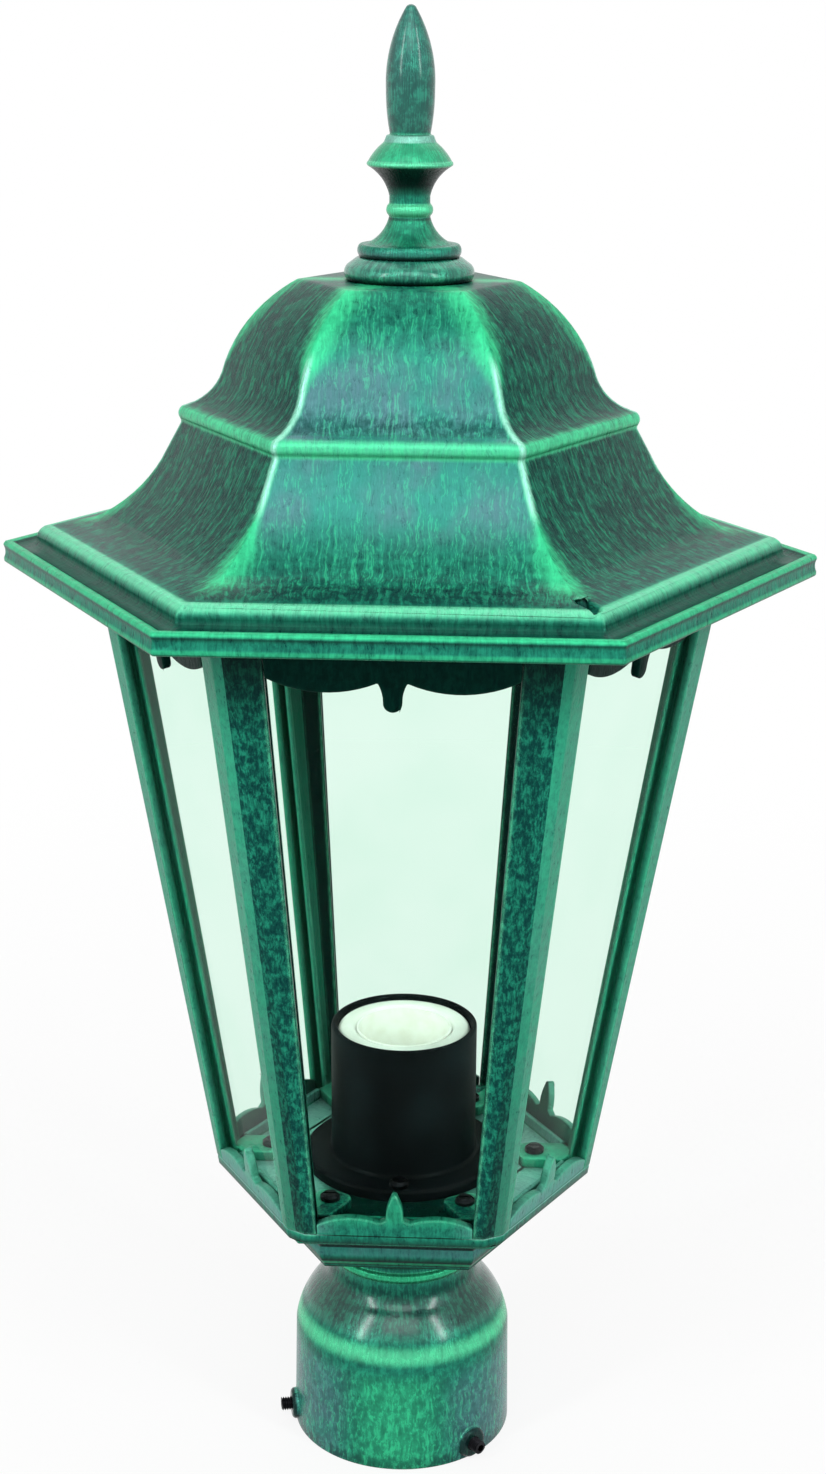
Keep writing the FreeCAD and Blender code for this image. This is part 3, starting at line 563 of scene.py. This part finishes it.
tray_paint = painted("tray_paint", face_strokes, tray_zones)
dressed(softened("base_tray", "tray_casting", width=0.0004), "base_tray", "cage",
        tray_paint)

# Cable nipple, nuts and washers: zinc plated steel tube with a fine thread, drawn up between the
# tray's floor and the socket's neck. The supply cable comes in through its bore. The screws at the
# posts' heads and the bridge bar are plated like it.
zinc = metal("zinc_plate", from_screen(186, 188, 194), from_screen(150, 152, 156), 0.25, 0.35)
finished(["nipple_nuts", "nipple_washers", "post_head_screws", "bridge_bar", "bridge_nut",
          "bridge_screws"], zinc)
NIPPLE_R = 0.005
NIPPLE_PITCH = 0.001
NIPPLE_THREAD = 0.0006
NIPPLE_BORE_R = 0.0035
BORE_SIDES = 48
nipple_low, nipple_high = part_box("cable_nipple")
nipple = screw_thread("nipple_tube", NIPPLE_R, NIPPLE_THREAD, NIPPLE_PITCH, nipple_low[2], nipple_high[2],
                      (BORE_SIDES, NIPPLE_BORE_R, nipple_low[2]))
dressed(nipple, "cable_nipple", "cage", zinc)

# Lamp holder: a black moulded shroud with a foot, screwed to the floor. A white ceramic cup stands in
# it, with a nickel plated screw shell for the lamp's cap and a spring contact at the bottom.
black_moulding, w = blank("black_moulding")
shroud_place = w.node("TexCoord", output="Object")
haze = w.node("TexNoise", inputs={"Vector": shroud_place, "Scale": 45.0, "Detail": 4.0})
grain = w.node("TexNoise", inputs={"Vector": shroud_place, "Scale": 1500.0, "Detail": 2.0})
black = haze.rise(0.45, 0.75).colours(from_screen(4, 8, 10), from_screen(16, 24, 27))
grain_bump = w.node("Bump", inputs={"Strength": 0.2, "Distance": 0.0001, "Height": grain})
shroud_surface = w.node("BsdfPrincipled", inputs={"Base Color": black, "Roughness": 0.38 + haze * 0.25,
                                                  "Specular IOR Level": 0.05, "Normal": grain_bump})
w.node("OutputMaterial", inputs={"Surface": shroud_surface})
dressed(softened("lamp_shroud", "holder_shroud", width=0.0003), "lamp_shroud", "cage",
        black_moulding)

glazed_white, w = blank("glazed_white")
cup_place = w.node("TexCoord", output="Object")
cloud = w.node("TexNoise", inputs={"Vector": cup_place, "Scale": 90.0, "Detail": 3.0})
glaze = cloud.rise(0.4, 0.7).colours(from_screen(250, 250, 244), from_screen(240, 240, 232))
ripple = w.node("Bump", inputs={"Strength": 0.15, "Distance": 0.0002, "Height": cloud})
cup_surface = w.node("BsdfPrincipled", inputs={"Base Color": glaze, "Roughness": 0.12 + cloud * 0.15,
                                               "Normal": ripple})
w.node("OutputMaterial", inputs={"Surface": cup_surface})
dressed(softened("lamp_insulator", "holder_cup", width=0.0004), "lamp_insulator", "cage",
        glazed_white)

nickel = metal("nickel_plate", from_screen(255, 254, 250), from_screen(246, 244, 236), 0.4, 0.3,
               share=0.3)
finished(["lamp_screw_shell"], nickel)
brass = metal("bright_brass", from_screen(214, 184, 118), from_screen(176, 146, 88), 0.22, 0.3)
finished(["lamp_contact", "terminal_screws", "earth_screw"], brass)


# Corner posts: six cast angle sections that lean outwards, grooved for the panes and screwed down at
# a lug at each end. The front and back flats are mottled dark teal with dark strokes as painted shade,
# the flanks are lightened with slate and green as painted light, and the heads have painted shade.
def post_strokes(w, x, y, z):
    """Mottled strokes along a post."""
    return x * 1.3, y * 1.3, z * 0.4


RING_SHADE_Z = (232, 262)


def post_zones(w, x, y, z):
    # Painted light on the flanks, painted shade on the front and back flats and under the ring.
    front = on_faces(w, x, y)[2]
    in_shade = z.rise(*RING_SHADE_Z)
    return {"slate": (1 - front) * 0.55, "green": (1 - front) * 0.3, "spikes": front * 0.9,
            "dark": in_shade * (front * 0.5 + 0.45)}


post_paint = painted("post_paint", post_strokes, post_zones, shine=0.05, edge_width=0.002)
for k in range(1, 7):
    dressed(softened(f"corner_post_{k}", f"post_casting_{k}", width=0.0004), f"corner_post_{k}",
            "cage", post_paint)

# Glass panes: six flat trapezoids of clear sheet glass with a faint green tint, which stand on the
# tray's floor in the posts' grooves.
PANE_IOR = 1.06
clear_glass, w = blank("clear_glass_sheet")
pane_place = w.node("TexCoord", output="Object")
smear = w.node("TexNoise", inputs={"Vector": pane_place, "Scale": 30.0, "Detail": 4.0})
tint = smear.rise(0.4, 0.8).colours(from_screen(240, 253, 246), from_screen(234, 251, 242))
smeared = smear.rise(0.5, 0.9) * 0.03
pane_surface = w.node("BsdfPrincipled", inputs={"Base Color": tint, "Roughness": smeared,
                                                "Transmission Weight": 1.0, "IOR": PANE_IOR})
lit_through = w.node("BsdfTransparent", inputs={"Color": from_screen(246, 254, 250)})
pane_mix = w.node("MixShader", inputs={0: w.node("LightPath", output="Is Shadow Ray"), 1: pane_surface,
                                       2: lit_through})
w.node("OutputMaterial", inputs={"Surface": pane_mix})
finished([f"glass_pane_{k}" for k in range(1, 7)], clear_glass)


# Top ring: one casting that ties the posts' heads, with two scallops and a pendant drop under each
# side. It lies in the brim's shade, which is painted in as near-black over nearly all of it.
def ring_zones(w, x, y, z):
    return {"dark": 0.97}


ring_paint = painted("ring_paint", face_strokes, ring_zones, shine=0.01, flake=0.1)
dressed(softened("top_ring", "ring_casting", width=0.0004), "top_ring", "cage",
        ring_paint)

# Roof: one thin ogee casting in six panels, with a brim, a stepped line, a ledge under the dome and
# rounded ridges. The brush left the ridges, ledge and brim bright. Slate on the front and back flats
# is a painted reflection, a pale line on the ridges is a painted highlight, and the side panels and
# the dome's foot carry painted shade.
DRIP_Z = 266.6
SUNK_BAND_Z = (268.4, 268.8)
BRIM_TOP_Z = 269.8
RIM_R = 108.6
STEP_R = (97.4, 102.6)
STEP_LINE_Z = (270.6, 271.4)
STEP_TOP_R = (86, 98.2)
STEP_TOP_Z = (271, 273)
KNEE_Z = 277.8
SKIRT_FOOT_R = (72, 96)
RIDGE_HIGHLIGHT_Z = (289, 330)
LEDGE_Z = (304.0, 309.6)
DOME_FOOT_Z = (311, 319)
UPPER_DOME_Z = (318, 332)
DOME_SLATE_Z = (320, 338)
CROWN_Z = 343.2


def roof_zones(w, x, y, z):
    # Painted reflection: front slate. Painted highlight: ridge and step lines. Painted shade: side panels
    # and the dome's foot.
    along, out, front = on_faces(w, x, y)
    corner_r = out / math.cos(math.pi / 6)
    from_ridge = out * math.tan(math.pi / 6) - abs(along)
    above_step = z.rise(KNEE_Z - 2.5, KNEE_Z)
    skirt_foot = 1 - z.rise(KNEE_Z + 1, KNEE_Z + 14)
    dome = z.rise(LEDGE_Z[1], LEDGE_Z[1] + 1)
    upper_dome = z.rise(*UPPER_DOME_Z)
    glow_width = skirt_foot * 7.0 + upper_dome * 6.5 + 2.2
    glow = (1 - (from_ridge / glow_width).rise(0.05, 1.0)) * above_step * 0.85
    ridge_highlight = (1 - from_ridge.rise(0.5, 1.7)) * z.between(*RIDGE_HIGHLIGHT_Z, 6) * 0.75
    ledge = z.between(*LEDGE_Z, 1.2)
    step_line = corner_r.between(*STEP_R, 1.3) * z.rise(*STEP_LINE_Z)
    rim = corner_r.rise(RIM_R, RIM_R + 0.8) * z.rise(BRIM_TOP_Z - 0.5, BRIM_TOP_Z + 0.2)
    drip = corner_r.rise(RIM_R, RIM_R + 0.8) * (1 - z.rise(DRIP_Z - 0.7, DRIP_Z)) * 0.5
    sunk_band = corner_r.between(STEP_R[1] - 0.4, RIM_R + 0.5, 0.6) * z.rise(*SUNK_BAND_Z)
    skirt_slate = z.rise(KNEE_Z + 2, KNEE_Z + 17) * (1 - dome)
    dome_slate = dome * (1 - z.rise(*DOME_SLATE_Z))
    skirt_spikes = skirt_foot * above_step * corner_r.rise(*SKIRT_FOOT_R) * 0.8
    dome_spikes = dome * (1 - z.rise(*DOME_FOOT_Z)) * 0.65
    foot_spikes = skirt_spikes.or_else(dome_spikes) * (1 - glow)
    shaded_side_panel = (1 - front) * above_step
    step_top = corner_r.between(*STEP_TOP_R, 3) * z.rise(*STEP_TOP_Z)
    brushed_lines = (ledge * 0.9).or_else(step_line * 0.8).or_else(rim * 0.65).or_else(drip * 0.8)
    return {"slate": skirt_slate.or_else(dome_slate) * (front * 0.9 + 0.05),
            "flecks": above_step * 0.3,
            "green": glow.or_else(brushed_lines),
            "pale": ridge_highlight.or_else(ledge * 0.1).or_else(step_line * 0.3),
            "spikes": foot_spikes.or_else(step_top * 0.9).or_else(shaded_side_panel * 0.75),
            "dark": (sunk_band * 0.62).or_else(step_top * 0.25)
            .or_else(shaded_side_panel * (1 - glow) * (1 - ledge) * 0.42)}


roof_paint = painted("roof_paint", face_strokes, roof_zones)
dressed(softened("roof", "roof_casting", width=0.0008), "roof", "roof", roof_paint)


# Crown disc and finial: turned castings on a threaded steel stud, which clamp the roof down when the
# finial is screwed home. Their rims are brushed bright with painted highlights, their faces carry a
# painted slate reflection, and the throats and joints between them carry painted shade.
def disc_zones(w, x, y, z):
    # Painted reflection in slate, painted shade at the joint under the disc.
    return {"slate": 0.5, "spikes": 0.6, "lacquer": 0.45,
            "green": z.rise(CROWN_Z + 0.8, CROWN_Z + 1.8) * 0.2,
            "dark": 1 - z.rise(CROWN_Z, CROWN_Z + 0.7)}


disc_paint = painted("disc_paint", turned_strokes, disc_zones, shine=0.15, smooth=0.18, flake=0.4)
dressed(softened("crown_disc", "crown_disc_casting", width=0.0004), "crown_disc", "roof",
        disc_paint)

FINIAL_DISC_Z = (349.2, 352.6)
FINIAL_BEAD_Z = (359.4, 363.4)
FLARE_Z = (372.2, 374.4)
COLLAR_Z = (378.4, 380.8)


def finial_zones(w, x, y, z):
    # Painted shade in the throat under the flare, at the joint and in the groove; painted reflection in
    # slate on the disc and spire; painted highlights in pale on the collar, bead and flare.
    bead = z.between(*FINIAL_BEAD_Z, 0.7)
    flare = z.between(*FLARE_Z, 0.6)
    bell = z.between(FLARE_Z[1] - 0.6, COLLAR_Z[0] + 0.6, 0.6)
    collar = z.between(*COLLAR_Z, 0.5)
    spire = z.rise(COLLAR_Z[1], COLLAR_Z[1] + 1)
    cove = z.between(FINIAL_DISC_Z[1], FINIAL_BEAD_Z[0], 0.5)
    throat = z.rise(FINIAL_BEAD_Z[1] + 2, FLARE_Z[0] - 3) * (1 - z.rise(FLARE_Z[0] - 1, FLARE_Z[0]))
    joint = 1 - z.rise(FINIAL_DISC_Z[0] + 0.1, FINIAL_DISC_Z[0] + 0.8)
    groove = z.between(FINIAL_BEAD_Z[0] - 0.8, FINIAL_BEAD_Z[0] + 0.3, 0.4)
    disc = 1 - z.rise(*FINIAL_DISC_Z)
    return {"slate": (disc * 0.6).or_else(spire * 0.25),
            "green": (bead * 0.85).or_else(flare * 0.8).or_else(bell * 0.45).or_else(cove * 0.2),
            "pale": (collar * 0.45).or_else(bead * 0.15).or_else(flare * 0.2),
            "lacquer": (spire.or_else(disc) * 0.45).or_else(bell * 0.25),
            "spikes": (spire * 0.55).or_else(disc * 0.5).or_else(cove * 0.4),
            "dark": (throat * 0.8).or_else(joint).or_else(groove * 0.6)}


finial_paint = painted("finial_paint", turned_strokes, finial_zones, shine=0.15, smooth=0.18, flake=0.4)
dressed(softened("finial", "finial_casting", width=0.0003), "finial", "finial",
        finial_paint)

STUD_R = 0.003
STUD_THREAD = 0.0006
STUD_PITCH = 0.001
stud_low, stud_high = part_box("finial_stud")
stud = screw_thread("finial_thread", STUD_R, STUD_THREAD, STUD_PITCH, stud_low[2], stud_high[2])
dressed(stud, "finial_stud", "finial", zinc)
